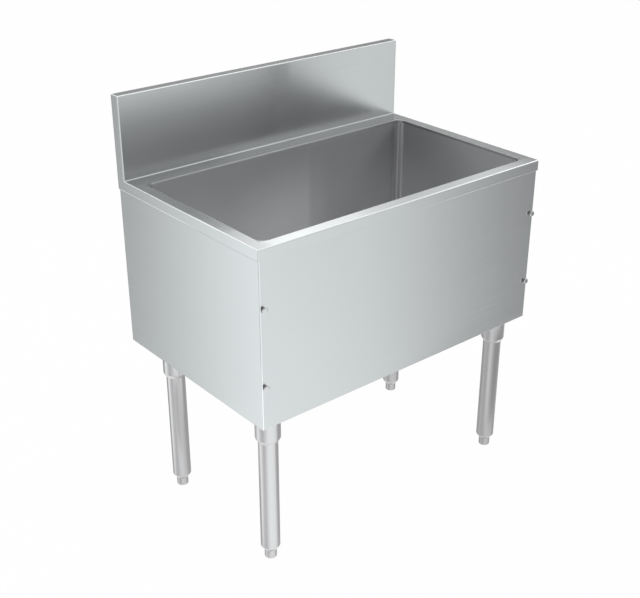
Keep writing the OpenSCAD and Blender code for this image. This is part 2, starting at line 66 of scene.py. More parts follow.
# How light a steel's painted shade and its painted highlights are beside its own colour
PAINTED_SHADE_TONE = 0.1
PAINTED_HIGHLIGHT_TONE = 1.6

# Which way a steel's shine is drawn out, as part of a turn
SHINE_TURN = 0.25

# Angle in degrees past which an edge of a new piece is sharp
SHARP_ANGLE = 35

# Rings of points in one turn of a thread
THREAD_STEPS = 8

# Stitch welds: their middles along x, their length, the size of their fillet and the length of one ripple
WELD_PLACES = tuple(x * MM for x in range(-300, 301, 100))
WELD_LENGTH = 28 * MM
WELD_SIZE = 2.6 * MM
RIPPLE_LENGTH = 1.1 * MM

# Size of a ripple's trough and of a weld's tip beside the full size, and the share of its length that tapers
# at each end
RIPPLE_TROUGH = 0.9
WELD_TIP = 0.15
WELD_TAPER = 1 / 9

# Camera: its place, its angles in degrees, the width of its sensor in millimetres and how far it sees
CAMERA_PLACE = (-1.4194, -1.6594, 1.5097)
CAMERA_AZIMUTH = -39.805
CAMERA_ELEVATION = 26.333
SENSOR_WIDTH = 36
SIGHT = 100

# Floor: half its width, and how light its paper is
FLOOR_REACH = 30.0
FLOOR_TONE = 0.86

# Strength of the world's light on dull surfaces, and of the bright floor that steel reflects
SOFT_LEVEL = 0.75
BELOW_LEVEL = 1.4

# Tint of the light that steel reflects, from the ceiling and the dim walls and from the brightest walls
CEILING_TINT = (0.985, 1, 1, 1)
WALL_TINT = (0.95, 1, 1, 1)

# Direction of the dark doorway overhead, which steel reflects
DOORWAY = (-0.212, -0.803, 0.557)

# Brightness of the studio's walls by bearing, in degrees from the wall side (+Y) toward the right hand (+X)
WALL_MAX = 1.5
WALL_LEVELS = (
    (-180, 1.3), (-145, 1.3), (-100, 0.62), (-85, 0.65), (-42, 1.45), (-36, 1.38), (-28, 0.4),
    (-22, 0.3), (0, 0.5), (60, 0.66), (97, 0.6), (122, 0.3), (128, 0.3), (133.3, 0.74), (135, 0.92),
    (137, 1.05), (139, 1.15), (146, 1.17), (180, 1.3),
)


# Sizes and colours that a user would change


class IceBinFinish(bpy.types.PropertyGroup):
    """Colours and grain of the bin's sheets and fittings"""

    sheet_colour: FloatVectorProperty(
        name="Sheet colour", description="Colour of the deck and the wrapped panels",
        default=(0.62, 0.63, 0.635), size=3, min=0, max=1, subtype="COLOR",
    )
    liner_colour: FloatVectorProperty(
        name="Liner colour", description="Colour of the liner",
        default=(0.7, 0.7, 0.708), size=3, min=0, max=1, subtype="COLOR",
    )
    fitting_colour: FloatVectorProperty(
        name="Fitting colour", description="Colour of the legs, feet, drain and fasteners",
        default=(0.615, 0.6, 0.608), size=3, min=0, max=1, subtype="COLOR",
    )
    foam_colour: FloatVectorProperty(
        name="Foam colour", description="Colour of the poured insulation",
        default=(0.84, 0.72, 0.42), size=3, min=0, max=1, subtype="COLOR",
    )
    grain_pitch: FloatProperty(
        name="Grain pitch", description="Distance between the coarsest lines of the brushed grain",
        default=2.5 * MM, min=0.2 * MM, max=20 * MM, subtype="DISTANCE", unit="LENGTH",
    )
    grain_length: FloatProperty(
        name="Grain length", description="Typical length of a line of the brushed grain",
        default=160 * MM, min=5 * MM, max=1, subtype="DISTANCE", unit="LENGTH",
    )
    grain_depth: FloatProperty(
        name="Grain depth", description="Depth of the brushed grain's bump",
        default=0.002 * MM, min=0, max=1 * MM, precision=6, subtype="DISTANCE", unit="LENGTH",
    )


class IceBinThread(bpy.types.PropertyGroup):
    """Threads of the feet and the drain"""

    pitch: FloatProperty(
        name="Foot thread pitch", description="Distance from one thread to the next on a foot's stem",
        default=2 * MM, min=0.5 * MM, max=4 * MM, subtype="DISTANCE", unit="LENGTH",
    )
    drain_pitch: FloatProperty(
        name="Drain thread pitch", description="Distance from one thread to the next on the drain's barrel",
        default=2.2 * MM, min=0.5 * MM, max=4 * MM, subtype="DISTANCE", unit="LENGTH",
    )
    depth: FloatProperty(
        name="Thread depth", description="Depth of the threads",
        default=1.1 * MM, min=0.2 * MM, max=2 * MM, subtype="DISTANCE", unit="LENGTH",
    )


class IceBinStage(bpy.types.PropertyGroup):
    """Lights and camera"""

    key_power: FloatProperty(
        name="Key light", description="Power of the large light over the bin",
        default=8, min=0, max=500, subtype="POWER", unit="POWER",
    )
    side_power: FloatProperty(
        name="Side light", description="Power of the light at the bin's left",
        default=8, min=0, max=500, subtype="POWER", unit="POWER",
    )
    lens: FloatProperty(
        name="Lens", description="Focal length of the camera",
        default=60.95, min=20, max=200, subtype="DISTANCE_CAMERA",
    )


# Shader maths


class Value:
    """A number that a node tree works out; Python's operators add its Math nodes."""

    def __init__(self, shade, socket):
        self.shade = shade
        self.socket = socket

    def math(self, operation, *others, flip=False):
        """A Math node on this value and the others, which come first where flip is true."""
        terms = [*others, self] if flip else [self, *others]
        node = self.shade.node("ShaderNodeMath", {"operation": operation}, dict(enumerate(terms)))
        return Value(self.shade, node.outputs[0])

    def __add__(self, other):
        return self.math("ADD", other)

    __radd__ = __add__

    def __sub__(self, other):
        return self.math("SUBTRACT", other)

    def __rsub__(self, other):
        return self.math("SUBTRACT", other, flip=True)

    def __mul__(self, other):
        return self.math("MULTIPLY", other)

    __rmul__ = __mul__

    def __truediv__(self, other):
        return self.math("DIVIDE", other)

    def __abs__(self):
        return self.math("ABSOLUTE")

    def above(self, other):
        """1 where this value is larger than the other, and 0 elsewhere."""
        return self.math("GREATER_THAN", other)

    def at_least(self, other):
        """The larger of this value and the other."""
        return self.math("MAXIMUM", other)

    def smooth(self, low, high, to_low=0.0, to_high=1.0):
        """Goes smoothly from to_low to to_high as this value goes from low to high."""
        node = self.shade.node(
            "ShaderNodeMapRange", {"interpolation_type": "SMOOTHSTEP"},
            {"Value": self, "From Min": low, "From Max": high, "To Min": to_low, "To Max": to_high},
        )
        return Value(self.shade, node.outputs["Result"])

    def fade(self, low, high):
        """Goes smoothly from 1 to 0 as this value goes from low to high."""
        return self.smooth(low, high, 1.0, 0.0)


class Shade:
    """A material's or world's node tree, empty but for its output."""

    def __init__(self, owner, output):
        owner.use_nodes = True
        self.tree = owner.node_tree
        self.tree.nodes.clear()
        self.output = self.tree.nodes.new(output)

    def node(self, kind, settings=None, inputs=None):
        """Adds a node: its settings first, then the values or links of its sockets."""
        made = self.tree.nodes.new(kind)
        for key, value in (settings or {}).items():
            if key == "stops":
                self.set_stops(made.color_ramp, value)
            else:
                setattr(made, key, value)
        for key, value in (inputs or {}).items():
            self.feed(made.inputs[key], value)
        return made

    def feed(self, socket, value):
        """Links a socket to a value, or sets it."""
        if isinstance(value, Value):
            value = value.socket
        if isinstance(value, bpy.types.NodeSocket):
            self.tree.links.new(value, socket)
        else:
            socket.default_value = value

    @staticmethod
    def set_stops(ramp, stops):
        """Gives a colour ramp its stops, each a place from 0 to 1 and a colour."""
        while len(ramp.elements) < len(stops):
            ramp.elements.new(1.0)
        for element, (place, colour) in zip(ramp.elements, stops):
            element.position = place
            element.color = (*colour, 1.0)

    def coords(self, kind):
        """A vector of the surface's own: Object, Normal, or Generated for the world's directions."""
        return self.node("ShaderNodeTexCoord").outputs[kind]

    def axes(self, vector):
        """The three numbers of a vector."""
        split = self.node("ShaderNodeSeparateXYZ", inputs={"Vector": vector})
        return [Value(self, split.outputs[i]) for i in range(3)]

    def place(self):
        """Where the surface is, as three numbers in metres."""
        return self.axes(self.coords("Object"))

    def facing(self):
        """Which way the surface faces, as three numbers from -1 to 1."""
        return self.axes(self.coords("Normal"))

    def vector(self, x, y, z):
        """A vector made from three numbers."""
        return self.node("ShaderNodeCombineXYZ", inputs={"X": x, "Y": y, "Z": z}).outputs["Vector"]

    def noise(self, vector, scale=1.0, detail=2.0, roughness=0.5):
        """Noise from 0 to 1 at a vector."""
        made = self.node(
            "ShaderNodeTexNoise", {"noise_dimensions": "3D"},
            {"Vector": vector, "Scale": scale, "Detail": detail, "Roughness": roughness},
        )
        return Value(self, made.outputs[0])

    def bump(self, height, depth, strength=1.0):
        """The surface's normal with a height from 0 to 1 on it that is depth metres deep."""
        made = self.node("ShaderNodeBump", inputs={"Strength": strength, "Distance": depth, "Height": height})
        return made.outputs["Normal"]

    def mix_colour(self, factor, low, high):
        """Goes from one colour to the other as factor goes from 0 to 1."""
        made = self.node("ShaderNodeMix", {"data_type": "RGBA"}, {"Factor": factor, 6: low, 7: high})
        return made.outputs[2]

    def mix_shader(self, factor, low, high):
        """Goes from one shader to the other as factor goes from 0 to 1."""
        return self.node("ShaderNodeMixShader", inputs={0: factor, 1: low, 2: high}).outputs[0]

    def principled(self, inputs):
        """The output of a Principled shader with these inputs."""
        return self.node("ShaderNodeBsdfPrincipled", inputs=inputs).outputs["BSDF"]

    def light(self, kind, strength, colour=WHITE):
        """The output of an Emission or Background shader."""
        return self.node(kind, inputs={"Color": colour, "Strength": strength}).outputs[0]

    def finish(self, surface):
        """Feeds the tree's output."""
        self.feed(self.output.inputs["Surface"], surface)


def new_material(name):
    """A material and the tree to fill."""
    material = bpy.data.materials.new(name)
    return material, Shade(material, "ShaderNodeOutputMaterial")


def tone(colour, factor):
    """A colour made lighter or darker, as a four-number colour."""
    return (*[min(1.0, c * factor) for c in colour], 1.0)


# Grain of the steels


def grain_height(shade, finish, axes, runs):
    """Height of a grain, from 0 to 1; runs says for each axis whether the grain's lines run along it."""
    spans = [finish.grain_length if along else finish.grain_pitch for along in runs]
    scaled = [axis * (1 / span) for axis, span in zip(axes, spans)]
    return shade.noise(shade.vector(*scaled), detail=7, roughness=0.62)


def flat_grain(shade, finish):
    """A grain that runs level on every upright face and across the deck."""
    x, y, z = shade.place()
    side = abs(shade.facing()[0]).above(0.7)
    run = x + side * (y - x)
    other = y + side * (x - y)
    return grain_height(shade, finish, (run, other, z), (True, False, False))


def round_grain(shade, finish):
    """A grain that runs round a turned fitting."""
    return grain_height(shade, finish, shade.place(), (True, True, False))


def long_grain(shade, finish):
    """A grain that runs up a drawn tube."""
    return grain_height(shade, finish, shade.place(), (False, False, True))


def wear(shade):
    """Broad, faint variation of a sheet's polish, from 0 to 1."""
    return shade.noise(shade.coords("Object"), scale=9.0, detail=3)


# Places on the steels with painted shade, painted highlights or a changed roughness, each 0 elsewhere


def mouth_lip(shade):
    """The welded lip along the back and the sides of the mouth, 1 there and 0 elsewhere."""
    x, y, _ = shade.place()
    low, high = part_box("bin_liner")
    reach = 1.4 * MM
    beside = abs(x - (low.x + high.x) / 2) - ((high.x - low.x) / 2 + reach)
    behind = y - (high.y + reach)
    before = (low.y + 4 * MM) - y
    return beside.at_least(behind).at_least(before).fade(-0.4 * MM, 0.4 * MM)


def level_part(shade):
    """The part of a sheet that faces up, 1 there and 0 elsewhere."""
    return shade.facing()[2].smooth(0.9, 0.99)


def front_rim(shade):
    """The level top of the deck before the mouth, 1 there and 0 elsewhere, and the place along it."""
    x, y, _ = shade.place()
    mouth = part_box("bin_liner")[0].y
    return y.fade(mouth, mouth + 0.5 * MM) * level_part(shade), x


def rubbed_top(shade):
    """Change of roughness on the deck: its level top is smoother, and the lip round the mouth is duller."""
    return -0.06 * level_part(shade) + 0.3 * mouth_lip(shade)


def deck_painted_highlights(shade):
    """Painted highlights on the deck: its folds, the bottom edge of its band, and the ends of its front rim.
    """
    x, y, z = shade.place()
    up = shade.facing()[2]
    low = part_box("deck_and_splash")[0]
    height = z - low.z
    front = height.fade(1.0 * MM, 1.4 * MM) * x.smooth(0.0, 0.2)
    outer_side = x.fade(low.x + 0.2 * MM, low.x + 0.8 * MM)
    left = height.fade(2.6 * MM, 3.2 * MM) * outer_side * y.smooth(-0.08, 0.04)
    outer = (low.x + 5 * MM - x).at_least(low.y + 5 * MM - y).at_least(z - 0.9).above(0.0)
    fold = 0.4 * outer * up.smooth(0.1, 0.35) * up.fade(0.8, 0.97)
    rim, along = front_rim(shade)
    left_end = 0.27 * along.smooth(-0.365, -0.335) * along.fade(-0.345, -0.19)
    right_end = 0.26 * along.smooth(0.2, 0.34)
    return front.at_least(left).at_least(fold).at_least(rim * (left_end + right_end))


def splash_painted_shade(shade):
    """Painted shade high in the middle of the backsplash, along its foot toward the left, and faintly on the
    level deck behind the mouth.
    """
    x, y, z = shade.place()
    upright = shade.facing()[1].fade(-0.999, -0.98)
    high = 0.17 * x.smooth(-0.05, 0.035) * x.fade(0.04, 0.07) * z.smooth(0.83, 0.905)
    foot = 0.2 * x.fade(-0.2, -0.05) * z.fade(0.742, 0.762)
    back = 0.035 * x.fade(-0.2, -0.05) * level_part(shade)
    return y.above(0.18) * (upright * high.at_least(foot)).at_least(back)


def deck_painted_shade(shade):
    """Painted shade over the lip round the mouth, more of it toward the right, in the middle of the front
    rim, and on the backsplash.
    """
    rim, along = front_rim(shade)
    middle = 0.13 * along.smooth(-0.16, -0.09) * along.fade(-0.01, 0.08)
    lip = mouth_lip(shade) * (0.25 + 0.2 * along.smooth(0.2, 0.34))
    return lip.at_least(rim * middle).at_least(splash_painted_shade(shade))


def wrapper_painted_highlights(shade):
    """Painted highlights along the wrapper's upright folds, most of them low down."""
    z = shade.place()[2]
    across, along, _ = shade.facing()
    return (abs(across) * abs(along)).smooth(0.03, 0.2) * z.smooth(0.4, 0.55, 0.55, 0.15)


def liner_painted_shade(shade):
    """Painted shade high on the liner's back and side walls, and in its upright corners, lighter along their
    middles.
    """
    z = shade.place()[2]
    across, along, _ = shade.facing()
    bend = abs(across) * abs(along)
    corner = 0.48 * bend.smooth(0.25, 0.44) - 0.25 * bend.smooth(0.485, 0.499)
    corner = corner + 0.2 * bend.smooth(0.15, 0.3) * abs(across).smooth(0.7, 0.8)
    return (0.34 * along.fade(-1.0, 1.0) * z.smooth(0.52, 0.75)).at_least(corner)


def liner_painted_highlights(shade):
    """Painted highlights: a bright patch on the liner's back wall, and bright lines beside its corners."""
    x, _, z = shade.place()
    across, along, _ = shade.facing()
    patch = x.smooth(-0.18, 0.03) * x.smooth(0.066, 0.082, 1.0, 0.45) * x.fade(0.08, 0.15)
    painted_patch = patch * z.smooth(0.4, 0.56) * z.smooth(0.56, 0.75, 0.66, 0.0) * along.fade(-0.99, -0.9)
    line = abs(across).smooth(0.955, 0.975) * abs(across).fade(0.985, 0.998) * abs(along).above(0.05)
    return painted_patch.at_least(0.8 * line)


def stud_neck_painted_shade(shade):
    """Painted shade on the neck of a stud, behind its head."""
    head_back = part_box("rail_studs")[0].y + 3.7 * MM
    return (shade.place()[1] - head_back).smooth(0.0, 0.4 * MM, 0.0, 0.7)


# Finishes


def steel(name, finish, colour, grain, roughness, anisotropy=0.0, depth=1.0,
          change=None, painted_shade=None, painted_highlight=None, even=None):
    """Brushed or turned steel: the grain moves its colour, its roughness and its normal.

    depth is a share of the finish's grain depth, and change(shade) adds to the roughness. The painted-shade
    mask darkens the steel's colour and the painted-highlight mask brightens it. Where even(shade) is 1 its
    reflection has no direction.
    """
    material, shade = new_material(name)
    height = grain(shade, finish)
    tint = shade.mix_colour(height, tone(colour, 1 - GRAIN_CONTRAST), tone(colour, 1 + GRAIN_CONTRAST))
    if painted_shade:
        tint = shade.mix_colour(painted_shade(shade), tint, tone(colour, PAINTED_SHADE_TONE))
    if painted_highlight:
        tint = shade.mix_colour(painted_highlight(shade), tint, tone(colour, PAINTED_HIGHLIGHT_TONE))
    rough = roughness + GRAIN_ROUGHNESS * (height - 0.5) + WEAR_ROUGHNESS * (wear(shade) - 0.5)
    if change:
        rough = rough + change(shade)
    inputs = {
        "Base Color": tint, "Metallic": 1.0, "Roughness": rough, "Anisotropic Rotation": SHINE_TURN,
        "Normal": shade.bump(height, finish.grain_depth * depth),
    }
    surface = shade.principled({**inputs, "Anisotropic": anisotropy})
    if even:
        surface = shade.mix_shader(even(shade), surface, shade.principled(inputs))
    shade.finish(surface)
    return material


def foam_material(colour):
    """Poured foam: a fine cell pattern under a dull skin."""
    material, shade = new_material("poured_foam")
    cells = shade.noise(shade.coords("Object"), scale=700, detail=3)
    shade.finish(shade.principled({
        "Base Color": shade.mix_colour(cells, tone(colour, 0.85), tone(colour, 1.1)), "Roughness": 0.9,
        "Normal": shade.bump(cells, 0.4 * MM, 0.6),
    }))
    return material


def rubber_material():
    """Dull black rubber with a faint bloom."""
    material, shade = new_material("gasket_rubber")
    bloom = shade.noise(shade.coords("Object"), scale=260, detail=4)
    shade.finish(shade.principled({
        "Base Color": shade.mix_colour(bloom, (0.018, 0.018, 0.019, 1), (0.045, 0.045, 0.047, 1)),
        "Roughness": 0.55 + 0.2 * bloom,
    }))
    return material


# Mesh helpers


def dress(material, *nodes):
    """Gives CAD nodes a material."""
    for name in nodes:
        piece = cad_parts[name]
        piece.data.materials.clear()
        piece.data.materials.append(material)


def add_piece(name, mesh, material, body):
    """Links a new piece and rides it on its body."""
    mesh.materials.append(material)
    piece = bpy.data.objects.new(name, mesh)
    bpy.context.scene.collection.objects.link(piece)
    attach(piece, body)
    return piece


def skin(form, loops, hollow=False):
    """Joins loops of points in their order, and closes both ends, or joins the last loop to the first."""
    joined = [*loops, loops[0]] if hollow else loops
    for low, high in zip(joined, joined[1:]):
        for i in range(len(low)):
            j = (i + 1) % len(low)
            form.faces.new((low[i], low[j], high[j], high[i]))
    if not hollow:
        form.faces.new(reversed(loops[0]))
        form.faces.new(loops[-1])


def finished_mesh(name, form):
    """Turns a bmesh into a mesh that is shaded smooth but for its sharp edges."""
    for face in form.faces:
        face.smooth = True
    mesh = bpy.data.meshes.new(name)
    form.to_mesh(mesh)
    form.free()
    mesh.set_sharp_from_angle(angle=math.radians(SHARP_ANGLE))
    return mesh


def turned_mesh(name, rings, centre, around, swell, hollow=False):
    """A mesh turned about an upright axis from (radius, height) rings.

    swell(radius, height, turn) adds to the radius, and a hollow form's rings go up its outside and down its
    bore.
    """
    form = bmesh.new()
    loops = []
    for radius, height in rings:
        loop = []
        for i in range(around):
            turn = i / around
            r = radius + swell(radius, height, turn)
            angle = 2 * math.pi * turn
            point = (centre[0] + r * math.cos(angle), centre[1] + r * math.sin(angle), height)
            loop.append(form.verts.new(point))
        loops.append(loop)
    skin(form, loops, hollow)
    return finished_mesh(name, form)


def thread_swell(thread_r, low, high, pitch, depth):
    """A swell for turned_mesh that cuts a thread where the ring's radius is thread_r."""

    def swell(radius, height, turn):
        if radius != thread_r or not low <= height <= high:
            return 0.0
        phase = (height / pitch - turn) % 1.0
        fade = max(0.0, min(1.0, (height - low) / pitch, (high - height) / pitch))
        return -depth * fade * abs(2 * phase - 1)

    return swell


def bead_mesh(name, runs, size):
    """Rippled fillet welds, each from start to end in the corner between the directions side and down."""
    form = bmesh.new()
    for start, end, side, down in runs:
        count = round((end - start).length / RIPPLE_LENGTH)
        loops = []
        for i in range(count + 1):
            t = i / count
            fade = max(WELD_TIP, min(1.0, t / WELD_TAPER, (1 - t) / WELD_TAPER) ** 0.5)
            r = size * fade * (1.0 if i % 2 else RIPPLE_TROUGH)
            centre = start.lerp(end, t)
            points = [centre]
            for across, below in arc((0, 0), 1, 0, 90, 5):
                points.append(centre + r * (across * side + below * down))
            loops.append([form.verts.new(point) for point in points])
        skin(form, loops)
    bmesh.ops.recalc_face_normals(form, faces=form.faces)
    return finished_mesh(name, form)


def arc(centre, radius, start, end, steps):
    """Points on an arc, in degrees, from start to end."""
    points = []
    for i in range(steps + 1):
        angle = math.radians(start + (end - start) * i / steps)
        points.append((centre[0] + radius * math.cos(angle), centre[1] + radius * math.sin(angle)))
    return points


# Light that the steels reflect, worked out from its direction


def wall_light(shade, bearing, degrees, z):
    """Brightness of the walls, with a dark gap; toward the front they are dimmer above their foot."""
    stops = [((a + 180) / 360, [level / WALL_MAX] * 3) for a, level in WALL_LEVELS]
    ramp = shade.node("ShaderNodeValToRGB", {"stops": stops}, {"Fac": bearing / (2 * math.pi) + 0.5})
    walls = Value(shade, ramp.outputs["Color"]) * WALL_MAX
    gap = abs(degrees - 143).smooth(0.5, 2.6, 0.32, 0.0)
    return walls * (1 - z.smooth(-0.33, -0.27) * (0.22 * degrees.smooth(136.5, 139.5) + gap))


def low_light(walls, degrees, z):
    """The walls, a pale patch low on the right side of them, and the bright floor below."""
    patch = z.smooth(-0.57, -0.51, 0.8, 0.0) * degrees.smooth(98, 110) * degrees.fade(136, 146)
    low = walls.at_least(patch)
    return low + z.fade(-0.74, -0.64) * (BELOW_LEVEL - low)


def high_light(x, y, z):
    """The dim ceiling with its doorway and its recess, and the lit panel with its bright strip."""
    up = z.at_least(0.001)
    right, back = x / up, y / up
    doorway = (x * DOORWAY[0] + y * DOORWAY[1] + z * DOORWAY[2]).smooth(0.80, 0.93)
    far = back.smooth(2.7, 3.0)
    recess = right.smooth(2.2, 2.4) * back.smooth(0.5, 1.0)
    recess = recess.at_least(0.65 * right.smooth(2.0, 2.2) * back.smooth(2.05, 2.25))
    recess = recess * (1 - 0.85 * far) + 0.24 * far
    zenith = z.smooth(0.8, 0.95)
    ceiling = 0.45 + 0.3 * z - 0.4 * doorway - 0.5 * recess - 0.35 * zenith
    panel = right.fade(2.15, 2.35) * back.fade(1.98, 2.06) * back.smooth(-1.4, -0.9)
    strip = right.smooth(1.345, 1.405) * right.fade(1.5, 1.68)
    middle = z.smooth(0.42, 0.55) - 0.8 * z.smooth(0.58, 0.72)
    lit = panel * (0.3 + 0.3 * right.smooth(1.95, 2.1) + 1.5 * strip + 0.8 * middle - 0.3 * zenith)
    return ceiling + lit


# Operators


class SheetsOperator(bpy.types.Operator):
    """Gives the deck, the wrapper and the rear and bottom panels their brushed steel"""

    bl_idname = "ice_bin.sheets"
    bl_label = "Sheets"

    def execute(self, context):
        finish = context.scene.ice_bin_finish
        colour = finish.sheet_colour
        # The deck gets painted shade and painted highlights, the wrapper painted highlights.
        deck = steel("deck_steel", finish, colour, flat_grain, 0.2, anisotropy=0.8,
                     change=rubbed_top, painted_shade=deck_painted_shade, painted_highlight=deck_painted_highlights)
        panel = steel("panel_steel", finish, colour, flat_grain, 0.2, anisotropy=0.9, painted_highlight=wrapper_painted_highlights)
        back = steel("back_steel", finish, tone(colour, 0.92)[:3], flat_grain, 0.42)
        dress(deck, "deck_and_splash")
        dress(panel, "outer_wrapper")
        dress(back, "rear_panel", "bottom_panel", *CHANNELS)
        for name in CHANNELS:
            self.make_welds(name, back)
        return {"FINISHED"}

    def make_welds(self, channel, material):
        """Stitch welds along a leg channel's sides, in the corner under the bottom panel."""
        low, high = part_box(channel)
        down = Vector((0, 0, -1))
        runs = []
        for y, side in ((low.y, Vector((0, -1, 0))), (high.y, Vector((0, 1, 0)))):
            for x in WELD_PLACES:
                start = Vector((x - WELD_LENGTH / 2, y, high.z))
                runs.append((start, start + Vector((WELD_LENGTH, 0, 0)), side, down))
        mesh = bead_mesh(f"{channel}.welds", runs, WELD_SIZE)
        add_piece(f"{channel}.welds", mesh, material, "bin")


class LinerOperator(bpy.types.Operator):
    """Gives the liner its satin steel and the foam and gaskets their finishes"""

    bl_idname = "ice_bin.liner"
    bl_label = "Liner and insulation"

    def execute(self, context):
        finish = context.scene.ice_bin_finish
        # The liner gets painted shade and painted highlights.
        liner = steel("liner_steel", finish, finish.liner_colour, flat_grain, 0.4, anisotropy=0.9,
                      painted_shade=liner_painted_shade, painted_highlight=liner_painted_highlights, even=level_part)
        dress(liner, "bin_liner")
        dress(foam_material(finish.foam_colour), "foam_insulation")
        dress(rubber_material(), "drain_gasket", "drain_washer")
        return {"FINISHED"}


class DrainOperator(bpy.types.Operator):
    """Finishes the drain and its strainer, and cuts the thread on the drain's barrel"""

    bl_idname = "ice_bin.drain"
    bl_label = "Drain"

    def execute(self, context):
        finish = context.scene.ice_bin_finish
        polished = steel("drain_steel", finish, finish.fitting_colour, round_grain, 0.2, depth=0.5)
        dress(polished, "drain_body", "drain_strainer")
        self.make_body(polished, context.scene.ice_bin_thread)
        return {"FINISHED"}

    def make_body(self, material, thread):
        """The drain's body with the thread on its barrel."""
        low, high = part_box("drain_body")
        tail_r, bore_r, barrel_r, throat_r = 16.7 * MM, 13.3 * MM, 18 * MM, 21.4 * MM
        flange_r, recess_r, mouth_r, round_r = (high.x - low.x) / 2, 24 * MM, 18.7 * MM, 1.2 * MM
        barrel_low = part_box("drain_locknut")[0].z - 4 * MM
        flange_low = high.z - 2.6 * MM
        throat_low = flange_low - 14 * MM
        barrel_high = throat_low - 3 * MM
        recess_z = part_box("drain_strainer")[0].z - 0.2 * MM
        step = thread.drain_pitch / THREAD_STEPS
        count = int((barrel_high - barrel_low) / step)
        rings = [(tail_r, low.z), (tail_r, barrel_low - 0.2 * MM)]
        rings += [(barrel_r, barrel_low + i * step) for i in range(count)]
        rings += [(throat_r, throat_low), (throat_r, flange_low), (flange_r, flange_low)]
        rings += arc((flange_r - round_r, high.z - round_r), round_r, 0, 90, 6)
        rings += [(recess_r, high.z), (recess_r, recess_z), (mouth_r, recess_z), (bore_r, throat_low)]
        rings += [(bore_r, low.z)]
        thread_high = barrel_low + count * step
        swell = thread_swell(barrel_r, barrel_low, thread_high, thread.drain_pitch, thread.depth)
        centre = (low + high) / 2
        mesh = turned_mesh("drain_body.threaded", rings, centre, around=72, swell=swell, hollow=True)
        piece = add_piece("drain_body.threaded", mesh, material, "bin")
        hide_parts("drain_body")


class LegsOperator(bpy.types.Operator):
    """Finishes the sockets, the leg tubes and the foot inserts"""

    bl_idname = "ice_bin.legs"
    bl_label = "Legs"

    def execute(self, context):
        finish = context.scene.ice_bin_finish
        colour = finish.fitting_colour
        socket = steel("socket_steel", finish, colour, round_grain, 0.3, anisotropy=0.5, depth=0.5)
        tube = steel("tube_steel", finish, colour, long_grain, 0.3, anisotropy=0.5)
        insert = steel("insert_steel", finish, colour, round_grain, 0.22, depth=0.5)
        for corner in CORNERS:
            dress(socket, f"leg_socket_{corner}")
            dress(tube, f"leg_tube_{corner}")
            dress(insert, f"foot_insert_{corner}")
        return {"FINISHED"}


class FeetOperator(bpy.types.Operator):
    """Makes the four adjustable feet with their threaded stems"""

    bl_idname = "ice_bin.feet"
    bl_label = "Feet"

    def execute(self, context):
        finish = context.scene.ice_bin_finish
        bright = steel("foot_steel", finish, finish.fitting_colour, round_grain, 0.22, depth=0.5)
        for corner in CORNERS:
            dress(bright, f"foot_{corner}")
            self.make_foot(corner, bright, context.scene.ice_bin_thread)
        return {"FINISHED"}

    def make_foot(self, corner, material, thread):
        """A foot with the thread on its stem."""
        node = f"foot_{corner}"
        low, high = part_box(node)
        middle_r, pad_r, edge_r = 0.5 * MM, (high.x - low.x) / 2, 2 * MM
        stem_r = 7.9 * MM
        neck_r, tip_r = stem_r - 0.1 * MM, stem_r - 1.2 * MM
        pad_top, chamfer = 20.2 * MM, 0.6 * MM
        thread_low = pad_top + 1.2 * MM
        step = thread.pitch / THREAD_STEPS
        count = int((high.z - thread_low) / step)
        rings = [(middle_r, 0.0), *arc((pad_r - edge_r, edge_r), edge_r, -90, 0, 8)]
        rings += [(pad_r, pad_top - chamfer), (pad_r - chamfer, pad_top), (neck_r, pad_top)]
        rings += [(stem_r, thread_low + i * step) for i in range(count)]
        rings += [(tip_r, high.z)]
        swell = thread_swell(stem_r, thread_low, high.z + thread.pitch, thread.pitch, thread.depth)
        mesh = turned_mesh(f"{node}.threaded", rings, (low + high) / 2, around=56, swell=swell)
        piece = add_piece(f"{node}.threaded", mesh, material, node)
        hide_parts(node)


class FastenersOperator(bpy.types.Operator):
    """Finishes the rail studs, bolts, nuts and set screws"""

    bl_idname = "ice_bin.fasteners"
    bl_label = "Fasteners"

    def execute(self, context):
        finish = context.scene.ice_bin_finish
        colour = finish.fitting_colour
        plated = steel("hardware_steel", finish, colour, round_grain, 0.28, depth=0.5)
        # The studs get painted shade on their necks.
        stud = steel("stud_steel", finish, colour, round_grain, 0.14, depth=0.5, painted_shade=stud_neck_painted_shade)
        dress(plated, "rail_stud_nuts", "socket_bolts", "socket_nuts", "socket_set_screws", "drain_locknut")
        dress(stud, "rail_studs")
        return {"FINISHED"}


